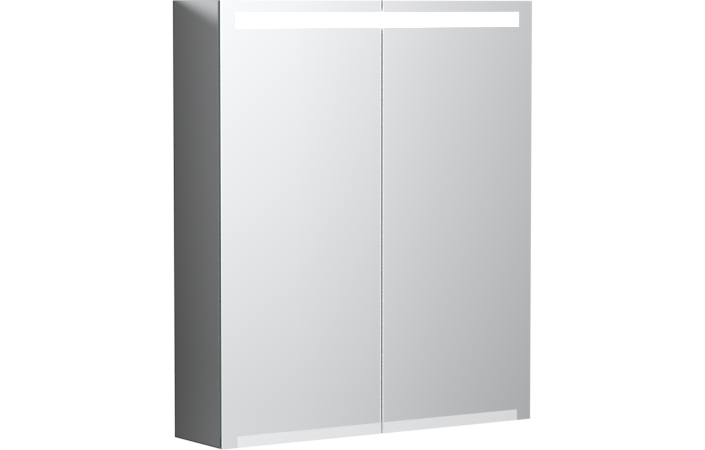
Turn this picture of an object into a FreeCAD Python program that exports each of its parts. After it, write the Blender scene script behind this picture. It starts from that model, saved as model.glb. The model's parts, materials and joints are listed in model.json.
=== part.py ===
import FreeCAD, Part
import Sketcher
import math
import os

# Wall-hung mirror cabinet, 600 x 700 x 150 mm, with two mirror doors, a light
# strip behind a window at the top of the doors and a satin grip strip at their
# lower edge.  Frame: X across (0 in the middle), Y = 0 on the wall with the
# doors towards -Y, Z = 0 at the middle of the four wall holes.  The pieces are
# drawn with heights counted from the lower edge, and each finished piece is then
# placed lower by UP.

os.makedirs("parts", exist_ok=True)
doc = FreeCAD.newDocument("mirror_cabinet")
V = FreeCAD.Vector

# ---------------------------------------------------------------- sizes sheet
sheet = doc.addObject("Spreadsheet::Sheet", "Sizes")
SIZES = [
    ("cab_width", 600), ("cab_height", 700), ("cab_depth", 150),
    ("front_glass", 4), ("rear_glass", 3), ("door_gap", 1), ("centre_gap", 3),
    ("side_glass", 4), ("side_board", 10), ("deck_board", 14),
    ("bottom_raise", 22), ("back_inset", 16), ("back_board", 4),
    ("window_inset", 28), ("window_low", 657), ("window_high", 680.5),
    ("grip_high", 18), ("edge_bevel", 0.8),
    ("shelf_glass", 5), ("shelf_depth", 98), ("pin_first", 132), ("pin_pitch", 32),
    ("pin_count", 14), ("pin_row_front", 108), ("pin_row_back", 40), ("pin_hole", 2.5),
    ("pin_hole_deep", 8), ("pin_head", 4),
    ("hinge_low", 95), ("hinge_high", 605),
    ("arm_pin_a", 26), ("arm_pin_b", 16), ("cup_pin_a", 33), ("cup_pin_b", 6),
    ("hinge_pin", 1.5), ("pin_play", 0.06), ("link_half", 4), ("link_thick", 2.5),
    ("cup_radius", 17.5),
    ("rail_low", 50), ("rail_high", 598), ("rail_tall", 34), ("rail_steel", 2),
    ("rail_hole", 3.5), ("rail_hole_x", 250),
    ("cover_low", 640), ("cover_steel", 1.2), ("lamp_back", 118), ("lamp_front", 138),
    ("lamp_low", 652), ("lamp_wall", 1.6),
    ("box_left", 100), ("box_right", 225), ("box_low", 584), ("box_front", 105),
    ("socket_x", 188), ("rocker_x", 130), ("fitting_z", 612), ("well_radius", 19.5),
    ("well_deep", 14), ("rocker_half", 7), ("rocker_tall", 11),
]
P = {}


class E:
    """A size and the sheet expression that it comes from."""

    def __init__(self, v, e):
        self.v = float(v)
        self.e = e

    @staticmethod
    def of(o):
        return o if isinstance(o, E) else E(o, "(%s)" % repr(float(o)))

    def __add__(self, o):
        o = E.of(o)
        return E(self.v + o.v, "(%s + %s)" % (self.e, o.e))

    __radd__ = __add__

    def __sub__(self, o):
        o = E.of(o)
        return E(self.v - o.v, "(%s - %s)" % (self.e, o.e))

    def __rsub__(self, o):
        return E.of(o) - self

    def __mul__(self, o):
        o = E.of(o)
        return E(self.v * o.v, "(%s * %s)" % (self.e, o.e))

    __rmul__ = __mul__

    def __truediv__(self, o):
        o = E.of(o)
        return E(self.v / o.v, "(%s / %s)" % (self.e, o.e))

    def __neg__(self):
        return E(-self.v, "(0 - %s)" % self.e)


for row, (name, value) in enumerate(SIZES, start=1):
    sheet.set("A%d" % row, name)
    sheet.set("B%d" % row, str(value))
    sheet.setAlias("B%d" % row, name)
    P[name] = E(value, "Sizes." + name)
doc.recompute()

W, H, D = P["cab_width"], P["cab_height"], P["cab_depth"]
FRONT = -D                                              # outer face of the doors
GLUE = FRONT + P["front_glass"]                         # between front and rear pane
REAR = GLUE + P["rear_glass"]                           # back of the doors
CARC = REAR + P["door_gap"]                             # front edge of the carcass
AXIS_Y = REAR + P["door_gap"] / 2                       # door axis, in the gap
IN = W / 2 - P["side_glass"] - P["side_board"]          # half inner width
DECK = H - P["deck_board"]                              # underside of the top panel
FLOOR = P["bottom_raise"] + P["deck_board"]             # top of the bottom panel
BACK_R = -P["back_inset"]                               # rear face of the back panel
BACK_F = BACK_R - P["back_board"]                       # front face of the back panel
EDGE = P["centre_gap"] / 2
UP = (P["rail_low"] + P["rail_high"] + P["rail_tall"]) / 2   # middle of the wall holes above the lower edge

parts = {}


# ------------------------------------------------------------------- helpers
def bind(obj, prop, e):
    e = E.of(e)
    obj.setExpression(prop, e.e)


def keep(obj, label):
    """Name a finished piece and bring it down to the frame's zero."""
    if obj.TypeId in ("Part::Box", "Part::Cylinder", "Part::Cone"):
        obj = group(label + "_piece", [obj])
    bind(obj, "Placement.Base.z", -UP)
    obj.Label = label
    parts[label] = obj
    return obj


def lohi(a, b):
    a, b = E.of(a), E.of(b)
    return (a, b) if a.v <= b.v else (b, a)


def box(name, x0, x1, y0, y1, z0, z1):
    o = doc.addObject("Part::Box", name)
    for prop, axis, (lo, hi) in (("Length", "x", lohi(x0, x1)), ("Width", "y", lohi(y0, y1)),
                                 ("Height", "z", lohi(z0, z1))):
        bind(o, prop, hi - lo)
        bind(o, "Placement.Base." + axis, lo)
    return o


def cyl(name, axis, x, y, z, r, length):
    """Cylinder from (x, y, z) along +axis."""
    o = doc.addObject("Part::Cylinder", name)
    rot = {"X": FreeCAD.Rotation(V(0, 1, 0), 90), "Y": FreeCAD.Rotation(V(1, 0, 0), -90),
           "Z": FreeCAD.Rotation()}[axis]
    o.Placement = FreeCAD.Placement(V(0, 0, 0), rot)
    bind(o, "Radius", r)
    bind(o, "Height", length)
    for a, v in (("x", x), ("y", y), ("z", z)):
        bind(o, "Placement.Base." + a, v)
    return o


def cone(name, axis, x, y, z, r1, r2, length):
    o = doc.addObject("Part::Cone", name)
    rot = {"X": FreeCAD.Rotation(V(0, 1, 0), 90), "Y": FreeCAD.Rotation(V(1, 0, 0), -90),
           "Z": FreeCAD.Rotation()}[axis]
    o.Placement = FreeCAD.Placement(V(0, 0, 0), rot)
    bind(o, "Radius1", r1)
    bind(o, "Radius2", r2)
    bind(o, "Height", length)
    for a, v in (("x", x), ("y", y), ("z", z)):
        bind(o, "Placement.Base." + a, v)
    return o


def fuse(name, shapes):
    o = doc.addObject("Part::MultiFuse", name)
    o.Shapes = shapes
    o.Refine = True
    return o


def cut(name, base, tools):
    tool = tools[0] if len(tools) == 1 else fuse(name + "_tools", tools)
    o = doc.addObject("Part::Cut", name)
    o.Base = base
    o.Tool = tool
    return o


def group(name, shapes):
    o = doc.addObject("Part::Compound", name)
    o.Links = shapes
    return o


def plane_of(body, role):
    for f in body.Origin.OriginFeatures:
        if f.Role == role:
            return f


def sketch(body, name, role, level):
    """Sketch on XY_Plane at z=level, YZ_Plane at x=level or XZ_Plane at y=level."""
    sk = body.newObject("Sketcher::SketchObject", name)
    sk.AttachmentSupport = [(plane_of(body, role), "")]
    sk.MapMode = "FlatFace"
    level = E.of(level)
    if role == "XZ_Plane":
        level = -level
    bind(sk, "AttachmentOffset.Base.z", level)
    return sk


def hold(sk, kind, geo, pos, value):
    value = E.of(value)
    i = sk.addConstraint(Sketcher.Constraint(kind, -1, 1, geo, pos, value.v))
    sk.setExpression("Constraints[%d]" % i, value.e)


def polygon(sk, pts):
    pts = [(E.of(a), E.of(b)) for a, b in pts]
    n = len(pts)
    first = len(sk.Geometry)
    for i in range(n):
        a, b = pts[i], pts[(i + 1) % n]
        sk.addGeometry(Part.LineSegment(V(a[0].v, a[1].v, 0), V(b[0].v, b[1].v, 0)), False)
    for i in range(n):
        sk.addConstraint(Sketcher.Constraint("Coincident", first + i, 2, first + (i + 1) % n, 1))
    for i in range(n):
        hold(sk, "DistanceX", first + i, 1, pts[i][0])
        hold(sk, "DistanceY", first + i, 1, pts[i][1])


def rect(sk, a0, a1, b0, b1):
    polygon(sk, [(a0, b0), (a1, b0), (a1, b1), (a0, b1)])


def ring(sk, a, b, r):
    a, b, r = E.of(a), E.of(b), E.of(r)
    g = sk.addGeometry(Part.Circle(V(a.v, b.v, 0), V(0, 0, 1), r.v), False)
    i = sk.addConstraint(Sketcher.Constraint("Radius", g, r.v))
    sk.setExpression("Constraints[%d]" % i, r.e)
    hold(sk, "DistanceX", g, 3, a)
    hold(sk, "DistanceY", g, 3, b)


def slot(sk, p, q, r):
    """Bar outline with round ends centred on p and q."""
    p = (E.of(p[0]), E.of(p[1]))
    q = (E.of(q[0]), E.of(q[1]))
    r = E.of(r)
    ang = math.atan2(q[1].v - p[1].v, q[0].v - p[0].v)
    nx, ny = -math.sin(ang) * r.v, math.cos(ang) * r.v
    g = len(sk.Geometry)
    half = math.pi / 2
    zz = V(0, 0, 1)
    sk.addGeometry(Part.ArcOfCircle(Part.Circle(V(q[0].v, q[1].v, 0), zz, r.v), ang - half, ang + half), False)
    sk.addGeometry(Part.LineSegment(V(q[0].v + nx, q[1].v + ny, 0), V(p[0].v + nx, p[1].v + ny, 0)), False)
    sk.addGeometry(Part.ArcOfCircle(Part.Circle(V(p[0].v, p[1].v, 0), zz, r.v), ang + half, ang + 3 * half), False)
    sk.addGeometry(Part.LineSegment(V(p[0].v - nx, p[1].v - ny, 0), V(q[0].v - nx, q[1].v - ny, 0)), False)
    for i in range(4):
        sk.addConstraint(Sketcher.Constraint("Tangent", g + i, 2, g + (i + 1) % 4, 1))
    i = sk.addConstraint(Sketcher.Constraint("Radius", g, r.v))
    sk.setExpression("Constraints[%d]" % i, r.e)
    sk.addConstraint(Sketcher.Constraint("Equal", g, g + 2))
    hold(sk, "DistanceX", g + 2, 3, p[0])
    hold(sk, "DistanceY", g + 2, 3, p[1])
    hold(sk, "DistanceX", g, 3, q[0])
    hold(sk, "DistanceY", g, 3, q[1])


def pad(body, sk, length):
    f = body.newObject("PartDesign::Pad", sk.Name + "_pad")
    f.Profile = sk
    bind(f, "Length", length)
    sk.Visibility = False
    return f


def pocket(body, sk, length, reverse=False):
    doc.recompute()
    before = body.Shape.Volume
    f = body.newObject("PartDesign::Pocket", sk.Name + "_pocket")
    f.Profile = sk
    f.Reversed = reverse
    bind(f, "Length", length)
    doc.recompute()
    if not f.Shape.Volume < before - 1e-3:
        raise RuntimeError("pocket %s cuts nothing" % f.Name)
    return f


def newbody(name):
    return doc.addObject("PartDesign::Body", name)


def plate(name, role, level, length, outline, holes=()):
    """Body made of one padded sketch: outline points and round holes."""
    b = newbody(name)
    sk = sketch(b, name + "_sk", role, level)
    polygon(sk, outline)
    for a, c, r in holes:
        ring(sk, a, c, r)
    pad(b, sk, length)
    return b


def pick_edges(shape, test):
    names = []
    for i, e in enumerate(shape.Edges, start=1):
        vs = [v.Point for v in e.Vertexes]
        if len(vs) == 2 and all(test(p) for p in vs):
            names.append("Edge%d" % i)
    return names


def bevel(body, test, size, kind="Chamfer"):
    doc.recompute()
    base = body.Tip
    names = pick_edges(base.Shape, test)
    if not names:
        raise RuntimeError("no edge to bevel on %s" % body.Name)
    f = body.newObject("PartDesign::" + kind, body.Name + "_" + kind.lower())
    f.Base = (base, names)
    bind(f, "Size" if kind == "Chamfer" else "Radius", size)
    body.Tip = f
    doc.recompute()
    return f


def near(a, b):
    return abs(a - b) < 1e-4


# ------------------------------------------------------------- carcass panels
def side(tag, s):
    """Side board with its shelf-pin holes, and the mirror glued on its outside."""
    inner = s * IN
    outer = s * (W / 2 - P["side_glass"])
    lo, hi = lohi(inner, outer)
    b = newbody(tag + "_board")
    sk = sketch(b, tag + "_board_sk", "YZ_Plane", lo)
    rect(sk, CARC, 0, 0, H)
    pad(b, sk, P["side_board"])
    ps = sketch(b, tag + "_pin_sk", "YZ_Plane", inner)
    ring(ps, -P["pin_row_front"], P["pin_first"], P["pin_hole"])
    ring(ps, -P["pin_row_back"], P["pin_first"], P["pin_hole"])
    pk = pocket(b, ps, P["pin_hole_deep"], reverse=(s > 0))
    one = b.Shape.Volume
    pat = b.newObject("PartDesign::LinearPattern", tag + "_pin_rows")
    pat.Originals = [pk]
    pat.Direction = (plane_of(b, "Z_Axis"), [""])
    bind(pat, "Occurrences", P["pin_count"])
    bind(pat, "Length", P["pin_pitch"] * (P["pin_count"] - 1))
    b.Tip = pat
    doc.recompute()
    if not b.Shape.Volume < one - 1:
        raise RuntimeError("shelf-pin pattern cuts nothing")
    hs = sketch(b, tag + "_screw_sk", "YZ_Plane", inner)
    for z in (P["hinge_low"], P["hinge_high"]):
        for dzz in (-16, 16):
            ring(hs, AXIS_Y + 48, z + dzz, 2.2)
    for z in (P["rail_low"], P["rail_high"]):
        ring(hs, -9, z + P["rail_tall"] / 2, 2.0)
    pocket(b, hs, 8, reverse=(s > 0))
    keep(b, tag + "_side_panel")
    g = newbody(tag + "_glass")
    lo, hi = lohi(outer, s * W / 2)
    sg = sketch(g, tag + "_glass_sk", "YZ_Plane", lo)
    rect(sg, CARC, 0, 0, H)
    pad(g, sg, P["side_glass"])
    xo = s * W.v / 2
    bevel(g, lambda p: near(p.x, xo), P["edge_bevel"] * 0.75)
    keep(g, tag + "_side_mirror")


side("left", -1)
side("right", 1)

cam_in = 24
cam_tools_top, cam_tools_low, cams, cam_bolts = [], [], [], []
for s, tag in ((-1, "l"), (1, "r")):
    for j, y in enumerate((-34, -108)):
        x = s * (IN - cam_in)
        for lvl, z0, store in (("t", DECK, cam_tools_top), ("b", P["bottom_raise"], cam_tools_low)):
            n = "cam_%s%s%d" % (lvl, tag, j)
            store.append(cyl(n + "_hole", "Z", x, y, z0 - 1, 7.6, 12))
            mid = z0 + 7
            xa, xb = lohi(s * (IN - cam_in + 4), s * IN)
            store.append(cyl(n + "_bore", "X", xa, y, mid, 3.6, xb - xa))
            cam = cyl(n + "_disc", "Z", x, y, z0 + 0.4, 7.4, 10.4)
            cross = box(n + "_cross1", x - 3.5, x + 3.5, y - 0.8, y + 0.8, z0, z0 + 3)
            cross2 = box(n + "_cross2", x - 0.8, x + 0.8, y - 3.5, y + 3.5, z0, z0 + 3)
            cams.append(cut(n, cam, [cross, cross2]))
            xc, xd = lohi(s * (IN - cam_in + 7.6), s * (IN + 0))
            cam_bolts.append(cyl(n + "_bolt", "X", xc, y, mid, 3.2, xd - xc))
keep(group("cams", cams), "cam_locks")
keep(group("cambolts", cam_bolts), "cam_bolts")
keep(cut("topdeck", box("topdeck_blank", -IN, IN, CARC, 0, DECK, H), cam_tools_top), "top_panel")
keep(cut("lowdeck", box("lowdeck_blank", -IN, IN, CARC, 0, P["bottom_raise"], FLOOR), cam_tools_low), "bottom_panel")

# ---------------------------------------------------------------- back panel
hole_x = P["rail_hole_x"]
z_top = P["rail_high"] + P["rail_tall"] / 2
z_low = P["rail_low"] + P["rail_tall"] / 2
cable_x, cable_z = -150, 668
fix = [(s * hole_x, z, 8) for s in (-1, 1) for z in (z_top, z_low)]
keep(plate("back", "XZ_Plane", BACK_R, P["back_board"],
           [(-IN, FLOOR), (IN, FLOOR), (IN, DECK), (-IN, DECK)],
           fix + [(cable_x, cable_z, 9)]), "back_panel")
gr = [cyl("grom_a", "Y", cable_x, BACK_F - 2, cable_z, 12, 2),
      cyl("grom_b", "Y", cable_x, BACK_F, cable_z, 8.9, P["back_board"]),
      cyl("grom_c", "Y", cable_x, BACK_R, cable_z, 12, 2)]
keep(cut("grom", fuse("grom_body", gr), [cyl("grom_hole", "Y", cable_x, BACK_F - 4, cable_z, 5.5, 12)]), "cable_grommet")


# ------------------------------------------------------------------ wall rails
def rail(name, z0):
    """Channel open towards the back panel, its web against the wall."""
    t, z1 = P["rail_steel"], z0 + P["rail_tall"]
    b = newbody(name + "_body")
    sk = sketch(b, name + "_sk", "YZ_Plane", -IN)
    polygon(sk, [(0, z0), (0, z1), (BACK_R, z1), (BACK_R, z1 - t), (-t, z1 - t),
                 (-t, z0 + t), (BACK_R, z0 + t), (BACK_R, z0)])
    pad(b, sk, IN * 2)
    hs = sketch(b, name + "_holes", "XZ_Plane", 0)
    for s in (-1, 1):
        ring(hs, s * hole_x, z0 + P["rail_tall"] / 2, P["rail_hole"])
    pocket(b, hs, t + 0.5, reverse=True)
    keep(b, name)


rail("top_wall_rail", P["rail_high"])
rail("bottom_wall_rail", P["rail_low"])
tabs, screws = [], []
for z0, tag in ((P["rail_high"], "t"), (P["rail_low"], "b")):
    for s in (-1, 1):
        n = "rail_tab_%s%d" % (tag, s)
        zc = z0 + P["rail_tall"] / 2
        web = box(n + "_a", s * (IN - 2), s * IN, -13.9, -P["rail_steel"], z0 + 4, z0 + P["rail_tall"] - 4)
        leg = box(n + "_b", s * (IN - 26), s * (IN - 1), -P["rail_steel"] - 2, -P["rail_steel"],
                  z0 + 4, z0 + P["rail_tall"] - 4)
        xh, _ = lohi(s * (IN - 4.4), s * (IN - 2))
        xs, _ = lohi(s * (IN - 2.1), s * (IN + 7))
        xt, _ = lohi(s * (IN - 3), s * (IN + 1))
        tabs.append(cut(n, fuse(n + "_blank", [web, leg]), [cyl(n + "_hole", "X", xt, -9, zc, 2.05, 4)]))
        screws.append(fuse(n + "_screw", [cyl(n + "_head", "X", xh, -9, zc, 3.6, 2.4),
                                          cyl(n + "_shank", "X", xs, -9, zc, 1.95, 9.1)]))
keep(group("railtabs", tabs), "rail_end_brackets")
keep(group("railscrews", screws), "rail_screws")

# --------------------------------------------------------------------- shelves
for k, label in ((2, "lower_shelf"), (7, "middle_shelf"), (12, "upper_shelf")):
    z0 = P["pin_first"] + P["pin_pitch"] * k + P["pin_head"] + 0.05
    y1 = BACK_F - 2
    y0 = y1 - P["shelf_depth"]
    b = newbody(label + "_body")
    sk = sketch(b, label + "_sk", "XY_Plane", z0)
    rect(sk, -IN + 1.5, IN - 1.5, y0, y1)
    pad(b, sk, P["shelf_glass"])
    yf = y0.v
    bevel(b, lambda p, yf=yf: near(p.y, yf), 1.0)
    keep(b, label)
pins = []
for k in (2, 7, 12):
    z = P["pin_first"] + P["pin_pitch"] * k
    for row in ("pin_row_front", "pin_row_back"):
        for s in (-1, 1):
            n = "pin_%d_%s_%s" % (k, row[-4:], "l" if s < 0 else "r")
            a, _ = lohi(s * IN, s * (IN + 7.5))
            c, _ = lohi(s * (IN - 7), s * IN)
            pins.append(fuse(n, [cyl(n + "_shank", "X", a, -P[row], z, P["pin_hole"] - 0.05, 7.5),
                                 cyl(n + "_head", "X", c, -P[row], z, P["pin_head"], 7)]))
keep(group("shelfpins", pins), "shelf_support_pins")

# ------------------------------------------------------------------ light unit
LX = IN - 4
ly0, ly1 = -P["lamp_front"], -P["lamp_back"]
lz0, lz1, lw = P["lamp_low"], DECK - 0.5, P["lamp_wall"]
b = newbody("lamp_profile")
sk = sketch(b, "lamp_sk", "YZ_Plane", -LX)
polygon(sk, [(ly0, lz0), (ly1, lz0), (ly1, lz1), (ly0, lz1), (ly0, lz1 - 3), (ly0 + 1.2, lz1 - 3),
             (ly0 + 1.2, lz1 - lw), (ly1 - lw, lz1 - lw), (ly1 - lw, lz0 + lw), (ly0 + 1.2, lz0 + lw),
             (ly0 + 1.2, lz0 + 3), (ly0, lz0 + 3)])
pad(b, sk, LX * 2)
keep(b, "light_housing")
keep(box("diffuser", -LX + 0.3, LX - 0.3, ly0 + 1.3, ly0 + 3.3, lz0 + lw + 0.1, lz1 - lw - 0.1), "light_diffuser")
caps = []
for s in (-1, 1):
    a, c = lohi(s * LX, s * (LX + 1.8))
    caps.append(box("lamp_cap%d" % s, a, c, ly0, ly1, lz0, lz1))
keep(group("lampcaps", caps), "light_end_caps")
zm = (lz0 + lz1) / 2
keep(box("ledboard", -LX + 6, LX - 6, ly1 - lw - 1.1, ly1 - lw - 0.1, zm - 6, zm + 6), "led_board")
chips = []
n_chip = 36
for i in range(n_chip):
    x = -LX + 16 + (LX * 2 - 32) * (i / (n_chip - 1.0))
    chips.append(box("chip%02d" % i, x - 1.75, x + 1.75, ly1 - lw - 1.9, ly1 - lw - 1.1, zm - 1.4, zm + 1.4))
keep(group("chips", chips), "led_chips")

# ---------------------------------------------- service cover and electric parts
cz, ct = P["cover_low"], P["cover_steel"]
cy0 = ly1 + 1.0
b = newbody("cover")
sk = sketch(b, "cover_sk", "YZ_Plane", -IN + 1)
polygon(sk, [(cy0, cz), (BACK_F - 0.5, cz), (BACK_F - 0.5, cz + 9), (BACK_F - 0.5 - ct, cz + 9),
             (BACK_F - 0.5 - ct, cz + ct), (cy0 + ct, cz + ct), (cy0 + ct, DECK - 0.4), (cy0, DECK - 0.4)])
pad(b, sk, IN * 2 - 2)
sx, rx, fz = P["socket_x"], P["rocker_x"], P["fitting_z"]
hs = sketch(b, "cover_screw_sk", "XY_Plane", cz)
for s in (-1, 1):
    for y in (-96, -36):
        ring(hs, s * (IN - 12), y, 1.9)
rect(hs, P["box_left"] + 8, P["box_right"] - 8, -P["box_front"] + 14, -40)
pocket(b, hs, ct + 1, reverse=True)
keep(b, "service_cover")
cs = []
blocks = []
for s in (-1, 1):
    for y in (-96, -36):
        n = "cov_%d_%d" % (s, -y)
        cs.append(fuse(n, [cyl(n + "_h", "Z", s * (IN - 12), y, cz - 1.6, 3.4, 1.6),
                           cyl(n + "_s", "Z", s * (IN - 12), y, cz - 0.1, 1.75, 7)]))
        xa, xb = lohi(s * IN, s * (IN - 20))
        blocks.append(cut(n + "_blk", box(n + "_b", xa, xb, y - 8, y + 8, cz + ct, cz + ct + 10),
                          [cyl(n + "_bh", "Z", s * (IN - 12), y, cz + ct - 1, 1.8, 9)]))
keep(group("coverscrews", cs), "service_cover_screws")
keep(group("coverblocks", blocks), "cover_mounting_blocks")

dz = cz + ct
drv = box("drv", -70, 80, -100, -52, dz, dz + 27)
ribs = [box("drv_rib%d" % i, -58 + 12 * i, -52 + 12 * i, -98, -54, dz + 26, dz + 28.5) for i in range(11)]
ears = [box("drv_ear_l", -80, -69, -84, -68, dz, dz + 3), box("drv_ear_r", 79, 90, -84, -68, dz, dz + 3)]
keep(cut("driver", fuse("driver_blank", [drv] + ribs + ears),
         [cyl("drv_h1", "Z", -75, -76, dz - 1, 2, 6), cyl("drv_h2", "Z", 85, -76, dz - 1, 2, 6)]), "led_driver")
tb = [box("tb_base", -190, -150, -78, -60, dz, dz + 14)]
tb_tools = []
for i in range(3):
    x = -183 + 13 * i
    tb.append(box("tb_tower%d" % i, x - 5, x + 5, -76, -62, dz + 13, dz + 19))
    tb_tools.append(cyl("tb_wire%d" % i, "Y", x, -80, dz + 7, 2.2, 24))
    tb_tools.append(cyl("tb_screw%d" % i, "Z", x, -69, dz + 12, 2.6, 8))
keep(cut("terminal", fuse("terminal_blank", tb), tb_tools), "terminal_block")
keep(group("tbscrews", [cyl("tbs%d" % i, "Z", -183 + 13 * i, -69, dz + 12.1, 2.3, 4.5) for i in range(3)]), "terminal_screws")
clamp = cut("clampcut", fuse("clamp_blank", [box("clamp_a", -166, -134, -44, -34, dz, dz + 5),
                                           box("clamp_b", -166, -134, -44, -34, dz + 13, dz + 17),
                                           box("clamp_c", -165.9, -157, -43.9, -34.1, dz + 4, dz + 14),
                                           box("clamp_d", -143, -134.1, -43.9, -34.1, dz + 4, dz + 14)]),
            [cyl("clamp_h1", "Z", -161.5, -39, dz + 12, 1.9, 8), cyl("clamp_h2", "Z", -138.5, -39, dz + 12, 1.9, 8)])
keep(clamp, "cable_clamp")
leads = []
for i in range(2):
    z = dz + 7 + 7 * i
    leads.append(cyl("lead_in%d" % i, "X", -149.5, -72 + 5 * i, dz + 8, 1.4, 79))
    leads.append(cyl("lead_out%d" % i, "Y", 40 + 12 * i, cy0 + ct + 0.4, dz + 12, 1.2, -100.4 - (cy0 + ct + 0.4)))
keep(group("leads", leads), "driver_leads")

# --------------------------------------------------- socket and switch housing
bx0, bx1, bz0, by0 = P["box_left"], P["box_right"], P["box_low"], -P["box_front"]
by1 = BACK_F - 0.6
bz1 = cz - 0.2
b = newbody("fitbox")
sk = sketch(b, "fitbox_sk", "XZ_Plane", by1)
rect(sk, bx0, bx1, bz0, bz1)
pad(b, sk, by1 - by0)
bevel(b, lambda p: near(p.y, by0.v), 1.2)
hs = sketch(b, "fitbox_in", "XY_Plane", bz1)
rect(hs, bx0 + 2.2, bx1 - 2.2, by0 + 2.6, by1 - 2.2)
pocket(b, hs, bz1 - bz0 - 2.2)
fr = sketch(b, "fitbox_front", "XZ_Plane", by0 + 3)
ring(fr, sx, fz, P["well_radius"] + 2)
rect(fr, rx - P["rocker_half"] - 2, rx + P["rocker_half"] + 2, fz - P["rocker_tall"] - 2, fz + P["rocker_tall"] + 2)
pocket(b, fr, 6, reverse=True)
keep(b, "fittings_box")
wr, wd = P["well_radius"], P["well_deep"]
face = by0 - 1.6
si = fuse("sock_blank", [cyl("sock_flange", "Y", sx, face, fz, wr + 4.5, 1.5),
                         cyl("sock_body", "Y", sx, face + 0.5, fz, wr + 1.8, wd + 4)])
tools = [cyl("sock_well", "Y", sx, face - 1, fz, wr, wd + 1)]
for s in (-1, 1):
    tools.append(cyl("sock_pin%d" % s, "Y", sx + 9.5 * s, face + 1, fz, 2.5, wd + 6))
keep(cut("sock", si, tools), "socket_insert")
clips = []
for s in (-1, 1):
    za, zb = lohi(fz + s * (wr - 0.3), fz + s * (wr - 1.5))
    clips.append(box("earth%d" % s, sx - 2.5, sx + 2.5, face + 4, face + wd, za, zb))
keep(group("earths", clips), "socket_earth_clips")
rh, rt = P["rocker_half"], P["rocker_tall"]
fb = newbody("rockframe")
sk = sketch(fb, "rockframe_sk", "XZ_Plane", by0)
rect(sk, rx - rh - 4.5, rx + rh + 4.5, fz - rt - 4.5, fz + rt + 4.5)
pad(fb, sk, 1.4)
s2 = sketch(fb, "rockframe_rim", "XZ_Plane", by0 + 9)
rect(s2, rx - rh - 1.8, rx + rh + 1.8, fz - rt - 1.8, fz + rt + 1.8)
p2 = pad(fb, s2, 9)
s3 = sketch(fb, "rockframe_hole", "XZ_Plane", by0 + 10)
rect(s3, rx - rh - 0.35, rx + rh + 0.35, fz - rt - 0.5, fz + rt + 0.5)
pocket(fb, s3, 14, reverse=True)
s4 = sketch(fb, "rockframe_pivot", "YZ_Plane", rx - rh - 3)
ring(s4, by0 + 3.5, fz, 1.26)
pocket(fb, s4, rh * 2 + 6, reverse=True)
keep(fb, "switch_frame")
# Rocker in its off position: the lower half stands proud, and it turns 12 degrees.
rb = newbody("rock")
sk = sketch(rb, "rock_sk", "YZ_Plane", rx - rh)
yc = by0 + 3.5
polygon(sk, [(yc - 4.2, fz + rt - 0.6), (yc - 5.9, fz), (yc - 8.4, fz - rt + 0.9), (yc + 1.0, fz - rt + 1.4),
             (yc + 2.6, fz), (yc + 1.4, fz + rt - 1.2)])
pad(rb, sk, rh * 2)
sa = sketch(rb, "rock_axle", "YZ_Plane", rx - rh - 1.7)
ring(sa, yc, fz, 1.2)
pad(rb, sa, rh * 2 + 3.4)
keep(rb, "switch_rocker")

# ---------------------------------------------------------------------- hinges
AA, AB = P["arm_pin_a"], P["arm_pin_b"]
CA, CB = P["cup_pin_a"], P["cup_pin_b"]
LA, LB = AA + CA, AB + CB                 # elbow: the links and the axis form a parallelogram
HP, HQ = P["hinge_pin"], P["hinge_pin"] + P["pin_play"]
LEVELS = ((P["hinge_low"], "low"), (P["hinge_high"], "top"))


def at(s, a, b):
    """Point a inboard of the outer face and b behind the door axis."""
    return (s * (W / 2 - a), AXIS_Y + b)


def hbox(n, s, a0, a1, b0, b1, z0, z1):
    return box(n, s * (W / 2 - a0), s * (W / 2 - a1), AXIS_Y + b0, AXIS_Y + b1, z0, z1)


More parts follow.
